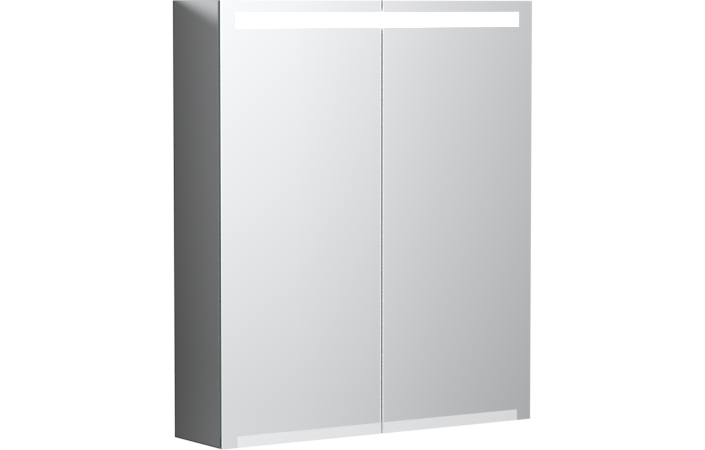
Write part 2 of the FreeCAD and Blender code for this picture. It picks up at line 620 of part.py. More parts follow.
plates, plate_screws, arms, arm_pins = [], [], [], []
for s, tag in ((-1, "left"), (1, "right")):
    glue, cups, cup_pins, outer, inner, bumpers = [], [], [], [], [], []
    for z, lv in LEVELS:
        n = "hinge_%s_%s" % (tag, lv)
        # cross plate and its two screws on the side panel
        pl = hbox(n + "_plate", s, 14, 16.6, 34, 62, z - 24, z + 24)
        tl = []
        for dzz in (-16, 16):
            xa, _ = lohi(s * (W / 2 - 13), s * (W / 2 - 18))
            tl.append(cyl("%s_ph%d" % (n, dzz), "X", xa, AXIS_Y + 48, z + dzz, 2.4, 5))
            xh, _ = lohi(s * (W / 2 - 16.6), s * (W / 2 - 18.8))
            xs, _ = lohi(s * (W / 2 - 6.8), s * (W / 2 - 16.7))
            plate_screws.append(fuse("%s_ps%d" % (n, dzz), [cyl("%s_psh%d" % (n, dzz), "X", xh, AXIS_Y + 48, z + dzz, 3.8, 2.2),
                                                           cyl("%s_pss%d" % (n, dzz), "X", xs, AXIS_Y + 48, z + dzz, 2.1, 9.9)]))
        plates.append(cut(n + "_pl", pl, tl))
        # arm: channel with two cheeks that hold the arm pin
        b = newbody(n + "_arm")
        sk = sketch(b, n + "_arm_sk", "XY_Plane", z - 7.6)
        polygon(sk, [at(s, 16.6, 10), at(s, 29, 11), at(s, 30, 14), at(s, 30, 22), at(s, 24, 40),
                     at(s, 22, 66), at(s, 16.6, 70)])
        pad(b, sk, 15.2)
        s2 = sketch(b, n + "_arm_in", "XY_Plane", z - 6.1)
        polygon(s2, [at(s, 18.2, 5), at(s, 36, 5), at(s, 36, 75), at(s, 18.2, 75)])
        pocket(b, s2, 12.2, reverse=True)
        s3 = sketch(b, n + "_arm_pin", "XY_Plane", z - 10)
        x, y = at(s, AA, AB)
        ring(s3, x, y, HP)
        pocket(b, s3, 20, reverse=True)
        arms.append(b)
        b.Label = n + "_arm_body"
        x, y = at(s, AA, AB)
        arm_pins.append(cyl(n + "_armpin", "Z", x, y, z - 7.6, HP, 15.2))
        # outer link: flat bar with a hub on the arm pin
        b = newbody(n + "_outer")
        sk = sketch(b, n + "_outer_sk", "XY_Plane", z - P["link_thick"])
        slot(sk, at(s, AA, AB), at(s, LA, LB), P["link_half"])
        pad(b, sk, P["link_thick"] * 2)
        sh = sketch(b, n + "_outer_hub", "XY_Plane", z - 5.8)
        ring(sh, x, y, P["link_half"])
        pad(b, sh, 11.6)
        s3 = sketch(b, n + "_outer_holes", "XY_Plane", z - 8)
        ring(s3, x, y, HQ)
        xl, yl = at(s, LA, LB)
        ring(s3, xl, yl, HQ)
        pocket(b, s3, 16, reverse=True)
        outer.append(b)
        # inner link: two cheeks on a hub, with the elbow pin across them
        xc, yc2 = at(s, CA, CB)
        b = newbody(n + "_inner")
        sk = sketch(b, n + "_inner_sk", "XY_Plane", z - 4.9)
        slot(sk, at(s, CA, CB), at(s, LA, LB), P["link_half"] - 0.5)
        pad(b, sk, 2)
        sk2 = sketch(b, n + "_inner_hub", "XY_Plane", z - 4.9)
        ring(sk2, xc, yc2, P["link_half"] - 0.5)
        pad(b, sk2, 9.8)
        sk3 = sketch(b, n + "_inner_elbow", "XY_Plane", z - 4.9)
        ring(sk3, xl, yl, HP)
        pad(b, sk3, 9.8)
        sk4 = sketch(b, n + "_inner_sk4", "XY_Plane", z + 2.9)
        slot(sk4, at(s, CA, CB), at(s, LA, LB), P["link_half"] - 0.5)
        pad(b, sk4, 2)
        sk5 = sketch(b, n + "_inner_hole", "XY_Plane", z - 8)
        ring(sk5, xc, yc2, HQ)
        pocket(b, sk5, 16, reverse=True)
        inner.append(b)
        # adhesive plate and cup on the back of the door
        glue.append(hbox(n + "_glue", s, 17, 53, -0.5, 0.9, z - 26, z + 26))
        xq, yq = at(s, 35, 0.9)
        cupd = cyl(n + "_cupdisc", "Y", xq, yq, z, P["cup_radius"], 8.4)
        groove = hbox(n + "_groove", s, 10, 60, 2.1, 12, z - 5.3, z + 5.3)
        bore = cyl(n + "_cupbore", "Z", xc, yc2, z - 9, HP, 18)
        cups.append(cut(n + "_cup", cupd, [groove, bore]))
        cup_pins.append(cyl(n + "_cuppin", "Z", xc, yc2, z - 9, HP, 18))
    keep(group(tag + "_outer", outer), tag + "_outer_links")
    keep(group(tag + "_inner", inner), tag + "_inner_links")
    keep(group(tag + "_glue", glue), tag + "_hinge_glue_plates")
    keep(group(tag + "_cups", cups), tag + "_hinge_cups")
    keep(group(tag + "_cuppins", cup_pins), tag + "_cup_pins")
keep(group("hplates", plates), "hinge_mounting_plates")
keep(group("hscrews", plate_screws), "hinge_plate_screws")
keep(group("harms", arms), "hinge_arms")
keep(group("hpins", arm_pins), "hinge_arm_pins")


# ----------------------------------------------------------------------- doors
def door(tag, s):
    xo, xi = s * W / 2, s * EDGE
    xw = s * (W / 2 - P["window_inset"])
    wl, wh, gh = P["window_low"], P["window_high"], P["grip_high"]
    b = newbody(tag + "_front")
    sk = sketch(b, tag + "_front_sk", "XZ_Plane", GLUE)
    polygon(sk, [(xo, 0), (xo, H), (xi, H), (xi, wh), (xw, wh), (xw, wl), (xi, wl), (xi, gh), (xw, gh), (xw, 0)])
    pad(b, sk, P["front_glass"])
    bevel(b, lambda p: near(p.y, FRONT.v) and (near(p.x, xo.v) or near(p.z, H.v)), P["edge_bevel"])
    keep(b, tag + "_door_mirror")
    b = newbody(tag + "_rear")
    sk = sketch(b, tag + "_rear_sk", "XZ_Plane", REAR)
    polygon(sk, [(xo, gh), (xo, H), (xi, H), (xi, wh), (xw, wh), (xw, wl), (xi, wl), (xi, gh)])
    pad(b, sk, P["rear_glass"])
    keep(b, tag + "_door_inner_mirror")
    keep(box(tag + "_win", xw, xi, FRONT + 0.05, REAR, wl, wh), tag + "_light_window")
    keep(box(tag + "_grip", xw, xi, FRONT, GLUE, 0, gh), tag + "_grip_strip")
    bumps = []
    for z in (H - P["deck_board"] / 2, P["bottom_raise"] + P["deck_board"] / 2):
        bumps.append(cone("%s_bump%d" % (tag, int(z.v)), "Y", s * 14, REAR, z, 4.0, 3.2, 0.8))
    keep(group(tag + "_bumps", bumps), tag + "_door_bumpers")


door("left", -1)
door("right", 1)

# ------------------------------------------------------------- check and write
doc.recompute()
bad = []
for o in doc.Objects:
    if any(st in ("Invalid", "Error") for st in o.State):
        bad.append("%s %s" % (o.Name, o.State))
for label, o in sorted(parts.items()):
    if o.Shape.isNull() or not o.Shape.isValid() or not o.Shape.Solids:
        bad.append("%s has no valid solid" % label)
if bad:
    raise RuntimeError("; ".join(bad))
if len(parts) > 60:
    raise RuntimeError("too many files: %d" % len(parts))
for label, o in sorted(parts.items()):
    o.Shape.exportStep(os.path.join("parts", label + ".step"))
    bb = o.Shape.BoundBox
    print("%-26s %2d solids  x %7.1f %7.1f  y %7.1f %7.1f  z %6.1f %6.1f" % (
        label, len(o.Shape.Solids), bb.XMin, bb.XMax, bb.YMin, bb.YMax, bb.ZMin, bb.ZMax))
print(len(parts), "nodes")
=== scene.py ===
import json
import math
import bpy
import bmesh
from mathutils import Matrix, Vector


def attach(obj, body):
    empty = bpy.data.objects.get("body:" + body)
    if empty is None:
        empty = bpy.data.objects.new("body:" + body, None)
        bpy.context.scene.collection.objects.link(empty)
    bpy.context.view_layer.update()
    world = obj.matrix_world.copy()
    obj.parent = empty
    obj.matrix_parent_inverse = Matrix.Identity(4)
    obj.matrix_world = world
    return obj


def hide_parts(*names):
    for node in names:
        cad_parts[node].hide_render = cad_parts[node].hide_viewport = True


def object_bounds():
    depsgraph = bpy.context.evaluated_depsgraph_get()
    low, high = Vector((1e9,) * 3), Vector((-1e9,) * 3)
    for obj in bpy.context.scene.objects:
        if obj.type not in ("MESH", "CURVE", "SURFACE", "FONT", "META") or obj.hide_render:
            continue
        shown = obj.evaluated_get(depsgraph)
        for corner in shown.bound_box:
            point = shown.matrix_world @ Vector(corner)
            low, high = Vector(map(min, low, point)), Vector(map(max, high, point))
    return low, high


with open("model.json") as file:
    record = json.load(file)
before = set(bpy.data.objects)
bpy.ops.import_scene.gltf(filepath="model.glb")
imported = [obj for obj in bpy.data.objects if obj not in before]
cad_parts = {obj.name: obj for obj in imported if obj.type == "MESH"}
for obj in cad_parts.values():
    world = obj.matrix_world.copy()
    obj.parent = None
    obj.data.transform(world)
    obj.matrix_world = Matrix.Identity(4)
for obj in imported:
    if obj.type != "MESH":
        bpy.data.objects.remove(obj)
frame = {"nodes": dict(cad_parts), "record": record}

CAD_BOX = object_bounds()
scene = bpy.context.scene
nodes = frame["nodes"]
W, H = 705, 450
UP = -CAD_BOX[0][2]          # the frame's zero is this far above the lower edge

# ------------------------------------------------------------------ camera
cam_data = bpy.data.cameras.new("camera")
cam = bpy.data.objects.new("camera", cam_data)
scene.collection.objects.link(cam)
scene.camera = cam
cam_data.sensor_fit = "HORIZONTAL"
cam_data.sensor_width = 36.0
cam_data.lens = 2813.4 * 36.0 / W
cam_data.shift_x = 0.0
cam_data.shift_y = -0.03
cam_data.clip_start = 0.05
cam_data.clip_end = 200.0
cam.location = (-2.5125, -3.9074, 0.6949 - UP)
cam.rotation_euler = (math.radians(90.0 - 4.073), 0.0, math.radians(-33.169))
scene.view_settings.view_transform = "Standard"
scene.view_settings.look = "None"
scene.view_settings.exposure = 0.0
scene.view_settings.gamma = 1.0


# ------------------------------------------------------------ node shorthand
def node(nt, kind, **props):
    n = nt.nodes.new("ShaderNode" + kind)
    for k, v in props.items():
        setattr(n, k, v)
    return n


def wire(nt, a, b):
    nt.links.new(a, b)


def setin(n, name, value):
    n.inputs[name].default_value = value


def math_node(nt, op, a, b=None, clamp=False):
    n = node(nt, "Math", operation=op, use_clamp=clamp)
    for i, v in enumerate((a, b)):
        if v is None:
            continue
        if isinstance(v, (int, float)):
            n.inputs[i].default_value = v
        else:
            wire(nt, v, n.inputs[i])
    return n.outputs[0]


def remap(nt, value, a0, a1, b0=0.0, b1=1.0, smooth=False):
    n = node(nt, "MapRange")
    n.interpolation_type = "SMOOTHSTEP" if smooth else "LINEAR"
    n.clamp = True
    wire(nt, value, n.inputs["Value"])
    for k, v in (("From Min", a0), ("From Max", a1), ("To Min", b0), ("To Max", b1)):
        n.inputs[k].default_value = v
    return n.outputs["Result"]


def mix_colour(nt, fac, a, b):
    n = node(nt, "Mix", data_type="RGBA", blend_type="MIX")
    n.clamp_factor = True
    for sock, v in ((n.inputs["Factor"], fac), (n.inputs["A"], a), (n.inputs["B"], b)):
        pass
    fac_s = n.inputs[0]
    a_s, b_s = n.inputs[6], n.inputs[7]
    for s, v in ((fac_s, fac), (a_s, a), (b_s, b)):
        if isinstance(v, (int, float)):
            s.default_value = v
        elif isinstance(v, (tuple, list)):
            s.default_value = (v[0], v[1], v[2], 1.0)
        else:
            wire(nt, v, s)
    return n.outputs[2]


def coords(nt):
    """Object coordinates, and x, y and the height above the cabinet's lower edge."""
    tc = node(nt, "TexCoord")
    sep = node(nt, "SeparateXYZ")
    wire(nt, tc.outputs["Object"], sep.inputs[0])
    return tc.outputs["Object"], sep.outputs[0], sep.outputs[1], math_node(nt, "ADD", sep.outputs[2], UP)


def noise(nt, vec, scale, detail=3.0, rough=0.5, stretch=None, distort=0.0):
    if stretch:
        mp = node(nt, "Mapping")
        mp.inputs["Scale"].default_value = stretch
        wire(nt, vec, mp.inputs["Vector"])
        vec = mp.outputs[0]
    n = node(nt, "TexNoise")
    wire(nt, vec, n.inputs["Vector"])
    n.inputs["Scale"].default_value = scale
    n.inputs["Detail"].default_value = detail
    n.inputs["Roughness"].default_value = rough
    n.inputs["Distortion"].default_value = distort
    return n.outputs[0]


def material(name):
    m = bpy.data.materials.new(name)
    m.use_nodes = True
    nt = m.node_tree
    p = nt.nodes["Principled BSDF"]
    return m, nt, p


def bump(nt, p, height, strength, distance):
    b = node(nt, "Bump")
    b.inputs["Strength"].default_value = strength
    b.inputs["Distance"].default_value = distance
    wire(nt, height, b.inputs["Height"])
    wire(nt, b.outputs[0], p.inputs["Normal"])


# ----------------------------------------------------------------- materials
def mirror_material(name, axis, level, edge_colour, dark_bands=None, tint=(0.93, 0.935, 0.94), reach=0.0009, gap=False):
    """Silvered glass: the face at `level` on `axis` mirrors, the ground edges show the glass itself."""
    m, nt, p = material(name)
    vec, x, y, z = coords(nt)
    pos = {"x": x, "y": y, "z": z}[axis]
    far = math_node(nt, "ABSOLUTE", math_node(nt, "SUBTRACT", pos, level))
    face = math_node(nt, "LESS_THAN", far, reach)
    grain = noise(nt, vec, 3.0, 2.0)
    wipe = noise(nt, vec, 22.0, 4.0, 0.6, stretch=(1.0, 1.0, 0.35))
    silver = mix_colour(nt, remap(nt, grain, 0.3, 0.7), tint, tuple(c * 0.992 for c in tint))
    streak = noise(nt, vec, 260.0, 2.0, 0.5, stretch=(1.0, 1.0, 0.02))
    edge = mix_colour(nt, remap(nt, streak, 0.3, 0.7), edge_colour, tuple(c * 1.35 for c in edge_colour))
    # the silver is darker in thin bands along the given edges; on the side mirrors these are the back edge and the
    # lower edge
    if dark_bands is not None:
        dark = None
        for a, lo, hi in dark_bands:
            v = {"x": x, "y": y, "z": z}[a]
            inside = math_node(nt, "MULTIPLY", math_node(nt, "GREATER_THAN", v, lo), math_node(nt, "LESS_THAN", v, hi))
            dark = inside if dark is None else math_node(nt, "MAXIMUM", dark, inside)
        silver = mix_colour(nt, dark, silver, (0.28, 0.29, 0.30))
    if gap:
        # the meeting edges carry painted light: a thin strip of painted highlight along the arris, where the silver
        # turns to white paint and keeps only part of its metal, and a cut face painted paler than the same glass at the
        # other edges, standing in for light in the gap
        ax = math_node(nt, "ABSOLUTE", x)
        # painted light: the cut face's glass is painted paler than the same glass elsewhere
        cut_face_painted_light = math_node(nt, "LESS_THAN", ax, 0.00155)
        edge = mix_colour(nt, cut_face_painted_light, edge, (0.34, 0.37, 0.36))
        # painted highlight: a white, partly non-metallic strip on the mirror face along the meeting edge
        arris_painted_highlight = math_node(nt, "LESS_THAN", ax, 0.0031)
        silver = mix_colour(nt, arris_painted_highlight, silver, (0.99, 0.99, 0.99))
        shine = math_node(nt, "SUBTRACT", face, math_node(nt, "MULTIPLY", math_node(nt, "MULTIPLY", arris_painted_highlight, face), 0.45))
    else:
        shine = face
    wire(nt, mix_colour(nt, face, edge, silver), p.inputs["Base Color"])
    wire(nt, shine, p.inputs["Metallic"])
    r_face = remap(nt, wipe, 0.45, 0.8, 0.012, 0.03)
    r_edge = remap(nt, streak, 0.3, 0.7, 0.16, 0.30)
    n = node(nt, "Mix", data_type="FLOAT")
    wire(nt, face, n.inputs[0])
    wire(nt, r_edge, n.inputs[2])
    wire(nt, r_face, n.inputs[3])
    wire(nt, n.outputs[0], p.inputs["Roughness"])
    p.inputs["IOR"].default_value = 1.52
    return m


def board_material(name, colour):
    """Melamine-faced board: fine orange-peel, slight cloudiness."""
    m, nt, p = material(name)
    vec, x, y, z = coords(nt)
    cloud = noise(nt, vec, 9.0, 4.0, 0.6)
    pore = noise(nt, vec, 1400.0, 2.0, 0.6)
    c = mix_colour(nt, remap(nt, cloud, 0.35, 0.7), colour, tuple(v * 0.955 for v in colour))
    # joint of the 1 mm edging along the front edge
    joint = math_node(nt, "LESS_THAN", math_node(nt, "ABSOLUTE", math_node(nt, "ADD", y, 0.1409)), 0.0001)
    c = mix_colour(nt, math_node(nt, "MULTIPLY", joint, 0.5), c, tuple(v * 0.6 for v in colour))
    wire(nt, c, p.inputs["Base Color"])
    wire(nt, remap(nt, cloud, 0.3, 0.7, 0.34, 0.46), p.inputs["Roughness"])
    bump(nt, p, pore, 0.10, 0.0003)
    p.inputs["IOR"].default_value = 1.5
    return m


def metal_material(name, colour, rough=(0.22, 0.36), stretch=(1, 1, 1), scale=400.0, strength=0.08, spots=0.0):
    """Drawn, plated or brushed metal with a grain along one direction."""
    m, nt, p = material(name)
    vec, x, y, z = coords(nt)
    grain = noise(nt, vec, scale, 4.0, 0.6, stretch=stretch)
    patch = noise(nt, vec, 28.0, 4.0, 0.6)
    c = mix_colour(nt, remap(nt, grain, 0.3, 0.7), tuple(v * 0.9 for v in colour), colour)
    if spots:
        vor = node(nt, "TexVoronoi")
        vor.inputs["Scale"].default_value = 180.0
        wire(nt, vec, vor.inputs["Vector"])
        c = mix_colour(nt, math_node(nt, "MULTIPLY", vor.outputs["Color"], spots), c, tuple(v * 0.82 for v in colour))
    c = mix_colour(nt, remap(nt, patch, 0.45, 0.75, 0.0, 0.35), c, tuple(v * 0.78 for v in colour))
    wire(nt, c, p.inputs["Base Color"])
    p.inputs["Metallic"].default_value = 1.0
    wire(nt, remap(nt, grain, 0.3, 0.7, rough[0], rough[1]), p.inputs["Roughness"])
    bump(nt, p, grain, strength, 0.0003)
    return m


def plastic_material(name, colour, rough=(0.28, 0.38), peel=2200.0, strength=0.02):
    m, nt, p = material(name)
    vec, x, y, z = coords(nt)
    cloud = noise(nt, vec, 30.0, 3.0, 0.55)
    fine = noise(nt, vec, peel, 2.0, 0.5)
    c = mix_colour(nt, remap(nt, cloud, 0.35, 0.7), colour, tuple(v * 0.94 for v in colour))
    wire(nt, c, p.inputs["Base Color"])
    wire(nt, remap(nt, fine, 0.3, 0.7, rough[0], rough[1]), p.inputs["Roughness"])
    bump(nt, p, fine, strength, 0.0002)
    return m


EDGE_GLASS = (0.055, 0.082, 0.078)
GAP_GLASS = (0.16, 0.20, 0.19)

mats = {}
mats["front"] = mirror_material("door_mirror_front", "y", -0.150, EDGE_GLASS, gap=True)
mats["inner"] = mirror_material("door_mirror_inner", "y", -0.143, EDGE_GLASS, reach=0.00012, gap=True)
dark_bands = [("y", -0.0042, 0.01), ("z", -0.01, 0.0022)]
mats["side_l"] = mirror_material("side_mirror_left", "x", -0.300, EDGE_GLASS, dark_bands=dark_bands, reach=0.00005)
mats["side_r"] = mirror_material("side_mirror_right", "x", 0.300, EDGE_GLASS, dark_bands=dark_bands, reach=0.00005)
mats["board"] = board_material("melamine_board", (0.74, 0.74, 0.73))
mats["enamel"] = plastic_material("white_enamel", (0.74, 0.74, 0.73), (0.30, 0.42), 1600.0, 0.03)
mats["alu"] = metal_material("anodised_aluminium", (0.72, 0.72, 0.73), (0.28, 0.40), (0.02, 1, 1), 900.0)
mats["zinc"] = metal_material("zinc_plated_steel", (0.60, 0.61, 0.63), (0.30, 0.46), (0.05, 1, 1), 260.0, 0.10, spots=0.5)
mats["bright"] = metal_material("nickel_screws", (0.68, 0.68, 0.69), (0.18, 0.30), (1, 1, 1), 900.0)
mats["cast"] = metal_material("die_cast_zinc", (0.55, 0.55, 0.56), (0.34, 0.50), (1, 1, 1), 700.0, 0.16)
mats["nickel"] = metal_material("nickel_plated_steel", (0.70, 0.70, 0.70), (0.14, 0.24), (1, 1, 0.2), 500.0, 0.05)
mats["rubber"] = plastic_material("black_rubber", (0.028, 0.028, 0.03), (0.55, 0.75), 600.0, 0.2)
mats["bumper"] = plastic_material("clear_bumper", (0.72, 0.73, 0.72), (0.18, 0.28), 400.0, 0.05)
mats["plastic"] = plastic_material("white_plastic", (0.76, 0.76, 0.74), (0.22, 0.32))
mats["driver"] = plastic_material("driver_case", (0.62, 0.63, 0.64), (0.42, 0.55), 500.0, 0.15)
mats["sleeve"] = plastic_material("lead_sleeve", (0.05, 0.05, 0.055), (0.35, 0.45), 500.0, 0.08)
mats["brass"] = metal_material("contact_brass", (0.72, 0.55, 0.26), (0.22, 0.34), (1, 1, 0.2), 700.0)


def satin_material():
    """Etched glass over the mirror coating: pale, diffusing, with a fine frost."""
    m, nt, p = material("satin_glass")
    vec, x, y, z = coords(nt)
    frost = noise(nt, vec, 2600.0, 2.0, 0.6)
    cloud = noise(nt, vec, 14.0, 3.0, 0.5)
    front = math_node(nt, "LESS_THAN", y, -0.1499)
    face = mix_colour(nt, remap(nt, cloud, 0.3, 0.7), (0.985, 0.99, 0.995), (0.965, 0.97, 0.975))
    wire(nt, mix_colour(nt, front, (0.45, 0.53, 0.51), face), p.inputs["Base Color"])
    wire(nt, math_node(nt, "MULTIPLY", front, 0.78), p.inputs["Metallic"])
    wire(nt, remap(nt, frost, 0.3, 0.7, 0.20, 0.26), p.inputs["Roughness"])
    bump(nt, p, frost, 0.05, 0.0001)
    return m


def window_material():
    """Opal light window, evenly lit from behind, with a faint rhythm from the lamps."""
    m, nt, p = material("lit_window")
    vec, x, y, z = coords(nt)
    ripple = math_node(nt, "SINE", math_node(nt, "MULTIPLY", x, 2 * math.pi / 0.0153))
    cloud = noise(nt, vec, 40.0, 2.0)
    c = mix_colour(nt, remap(nt, ripple, -1.0, 1.0), (0.93, 0.94, 0.95), (0.97, 0.97, 0.97))
    c = mix_colour(nt, remap(nt, cloud, 0.4, 0.8, 0.0, 0.2), c, (0.90, 0.91, 0.92))
    wire(nt, c, p.inputs["Base Color"])
    p.inputs["Roughness"].default_value = 0.3
    p.inputs["Emission Color"].default_value = (1.0, 1.0, 0.99, 1.0)
    p.inputs["Emission Strength"].default_value = 1.7
    return m


def diffuser_material():
    m, nt, p = material("opal_diffuser")
    vec, x, y, z = coords(nt)
    lines = noise(nt, vec, 1200.0, 2.0, 0.5, stretch=(0.01, 1, 1))
    c = mix_colour(nt, remap(nt, lines, 0.3, 0.7), (0.92, 0.92, 0.90), (0.86, 0.87, 0.86))
    wire(nt, c, p.inputs["Base Color"])
    p.inputs["Roughness"].default_value = 0.4
    p.inputs["Emission Color"].default_value = (1.0, 0.98, 0.95, 1.0)
    p.inputs["Emission Strength"].default_value = 2.2
    return m


def shelf_material():
    """Float glass: nearly clear through the faces, green and ground at the edges."""
    m, nt, p = material("shelf_glass")
    vec, x, y, z = coords(nt)
    ends = math_node(nt, "GREATER_THAN", math_node(nt, "ABSOLUTE", x), 0.28445)
    fr = math_node(nt, "MAXIMUM", math_node(nt, "LESS_THAN", y, -0.1189), math_node(nt, "GREATER_THAN", y, -0.02205))
    edge = math_node(nt, "MAXIMUM", ends, fr)
    grind = noise(nt, vec, 500.0, 3.0, 0.6, stretch=(0.05, 1, 1))
    green = mix_colour(nt, remap(nt, grind, 0.3, 0.7), (0.30, 0.56, 0.47), (0.40, 0.66, 0.57))
    wire(nt, mix_colour(nt, edge, (0.90, 0.965, 0.94), green), p.inputs["Base Color"])
    wire(nt, remap(nt, math_node(nt, "MULTIPLY", edge, grind), 0.0, 1.0, 0.015, 0.30), p.inputs["Roughness"])
    wire(nt, remap(nt, edge, 0.0, 1.0, 1.0, 0.25), p.inputs["Transmission Weight"])
    p.inputs["IOR"].default_value = 1.5
    return m


def board_led():
    m, nt, p = material("circuit_board")
    vec, x, y, z = coords(nt)
    track = node(nt, "TexBrick")
    track.inputs["Scale"].default_value = 90.0
    track.inputs["Color1"].default_value = (0.78, 0.80, 0.77, 1)
    track.inputs["Color2"].default_value = (0.72, 0.75, 0.71, 1)
    track.inputs["Mortar"].default_value = (0.60, 0.55, 0.34, 1)
    mp = node(nt, "Mapping")
    mp.inputs["Rotation"].default_value = (math.pi / 2, 0, 0)
    wire(nt, vec, mp.inputs["Vector"])
    wire(nt, mp.outputs[0], track.inputs["Vector"])
    wire(nt, track.outputs["Color"], p.inputs["Base Color"])
    p.inputs["Roughness"].default_value = 0.35
    return m


def chip_material():
    m, nt, p = material("led_phosphor")
    vec, x, y, z = coords(nt)
    dots = noise(nt, vec, 1500.0, 2.0)
    c = mix_colour(nt, remap(nt, dots, 0.3, 0.7), (0.92, 0.78, 0.30), (0.95, 0.86, 0.48))
    wire(nt, c, p.inputs["Base Color"])
    p.inputs["Roughness"].default_value = 0.3
    p.inputs["Emission Color"].default_value = (1.0, 0.93, 0.75, 1.0)
    p.inputs["Emission Strength"].default_value = 3.0
    return m


mats["satin"] = satin_material()
mats["window"] = window_material()
mats["diffuser"] = diffuser_material()
mats["shelf"] = shelf_material()
mats["pcb"] = board_led()
mats["chip"] = chip_material()

ASSIGN = {
    "left_door_mirror": "front", "right_door_mirror": "front",
    "left_door_inner_mirror": "inner", "right_door_inner_mirror": "inner",
    "left_side_mirror": "side_l", "right_side_mirror": "side_r",
    "left_grip_strip": "satin", "right_grip_strip": "satin",
    "left_light_window": "window", "right_light_window": "window",
    "light_diffuser": "diffuser", "led_board": "pcb", "led_chips": "chip",
    "lower_shelf": "shelf", "middle_shelf": "shelf", "upper_shelf": "shelf",
    "left_side_panel": "board", "right_side_panel": "board", "top_panel": "board",
    "bottom_panel": "board", "back_panel": "board",
    "light_housing": "alu", "top_wall_rail": "zinc", "bottom_wall_rail": "zinc",
    "rail_end_brackets": "zinc", "cable_clamp": "zinc", "service_cover": "enamel",
    "rail_screws": "bright", "service_cover_screws": "bright", "hinge_plate_screws": "bright",
    "cam_bolts": "bright", "terminal_screws": "bright", "shelf_support_pins": "bright",
    "hinge_arm_pins": "bright", "left_cup_pins": "bright", "right_cup_pins": "bright",
    "cam_locks": "cast", "hinge_arms": "nickel", "hinge_mounting_plates": "nickel",
    "left_hinge_cups": "nickel", "right_hinge_cups": "nickel",
    "left_outer_links": "nickel", "right_outer_links": "nickel",
    "left_inner_links": "nickel", "right_inner_links": "nickel",
    "left_hinge_glue_plates": "nickel", "right_hinge_glue_plates": "nickel",
    "cable_grommet": "rubber", "left_door_bumpers": "bumper", "right_door_bumpers": "bumper",
    "socket_earth_clips": "brass", "driver_leads": "sleeve", "led_driver": "driver",
}
for name, obj in nodes.items():
    m = mats[ASSIGN.get(name, "plastic")]
    if not obj.material_slots:
        obj.data.materials.append(m)
    for s in obj.material_slots:
        s.material = m

# ------------------------------------------------- detailed pieces over the CAD
BODY = {n: b for b, group in frame["record"]["behaviour"]["bodies"].items() for n in group}
W2, AXIS_Y = 0.300, -0.1425
IN = 0.286                       # half of the inner width
RISE = Vector((0.0, 0.0, -UP))


def adopt(me, name):
    """Put the mesh in the scene as the piece that stands for a CAD node."""
    o = bpy.data.objects.new(name + ".detail", me)
    scene.collection.objects.link(o)
    if not me.materials:
        me.materials.append(mats[ASSIGN.get(name, "plastic")])
    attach(o, BODY[name])
    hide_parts(name)
    return o


def shade(bm, rounded, limit=32.0):
    """Flat faces stay flat, curved ones and the given faces are smooth."""
    rounded = set(rounded)
    for f in bm.faces:
        curved = f in rounded
        if not curved and f.calc_area() < 2e-4:
            along = sum(e.calc_length() for e in f.edges
                        if len(e.link_faces) == 2 and 0.03 < e.calc_face_angle(0.0) < math.radians(limit))
            curved = along > 0.25 * sum(e.calc_length() for e in f.edges)
        f.smooth = curved


def refined(name, width, longer=0.003, segments=2):
    """The node's own shape with its sharp edges rounded over."""
    bm = bmesh.new()
    bm.from_mesh(nodes[name].data)
    bmesh.ops.remove_doubles(bm, verts=bm.verts[:], dist=2e-6)
    bmesh.ops.dissolve_limit(bm, angle_limit=math.radians(0.5), verts=bm.verts[:], edges=bm.edges[:])
    picked = [e for e in bm.edges if len(e.link_faces) == 2 and e.calc_face_angle(0.0) > math.radians(32.0)
              and e.calc_length() > longer]
    shade(bm, ())
    got = bmesh.ops.bevel(bm, geom=picked, offset=width, offset_type="OFFSET", segments=segments,
                          profile=0.5, affect="EDGES", clamp_overlap=True)
    for f in got["faces"]:
        f.smooth = True
    soft_faces = [f.smooth for f in bm.faces]
    me = bpy.data.meshes.new(name + ".detail")
    bm.to_mesh(me)
    bm.free()
    layer = me.attributes.get("custom_normal")
    if layer is not None:
        me.attributes.remove(layer)
    me.set_sharp_from_angle(angle=math.radians(50.0))
    me.polygons.foreach_set("use_smooth", soft_faces)
    return adopt(me, name)


def lathe(bm, pts, place, segs=32, closed=False):
    """Revolve (radius, height) points about +Z and put the result where `place` says."""
    rings = []
    for r, h in pts:
        if r < 1e-9:
            rings.append([bm.verts.new(place @ Vector((0, 0, h)))])
        else:
            rings.append([bm.verts.new(place @ Vector((r * math.cos(2 * math.pi * i / segs), r * math.sin(2 * math.pi * i / segs), h)))
                          for i in range(segs)])
    pairs = list(zip(rings, rings[1:]))
    if closed:
        pairs.append((rings[-1], rings[0]))
    for a, b in pairs:
        for i in range(segs):
            j = (i + 1) % segs
            if len(a) == 1:
                bm.faces.new((a[0], b[j], b[i]))
            elif len(b) == 1:
                bm.faces.new((a[i], a[j], b[0]))
            else:
                bm.faces.new((a[i], a[j], b[j], b[i]))
    return rings


def loop_edges(bm, verts):
    out = []
    for i, v in enumerate(verts):
        w = verts[(i + 1) % len(verts)]
        out.append(bm.edges.get((v, w)) or bm.edges.new((v, w)))
    return out


def fill_between(bm, outer, holes):
    edges = loop_edges(bm, outer)
    for h in holes:
        edges += loop_edges(bm, h)
    bmesh.ops.triangle_fill(bm, use_beauty=True, use_dissolve=False, edges=edges)


def sink(bm, rim, steps):
    """Walls down from a loop of vertices to smaller copies of it, closed by a floor."""
    last = rim
    for ring in steps:
        for i in range(len(last)):
            j = (i + 1) % len(last)
            bm.faces.new((last[i], last[j], ring[j], ring[i]))
        last = ring
    bm.faces.new(last)


def stand(at, way, turn=0.0):
    """Matrix that takes +Z to `way` at the point `at`."""
    q = Vector((0, 0, 1)).rotation_difference(Vector(way))
    return Matrix.Translation(Vector(at) + RISE) @ q.to_matrix().to_4x4() @ Matrix.Rotation(turn, 4, "Z")


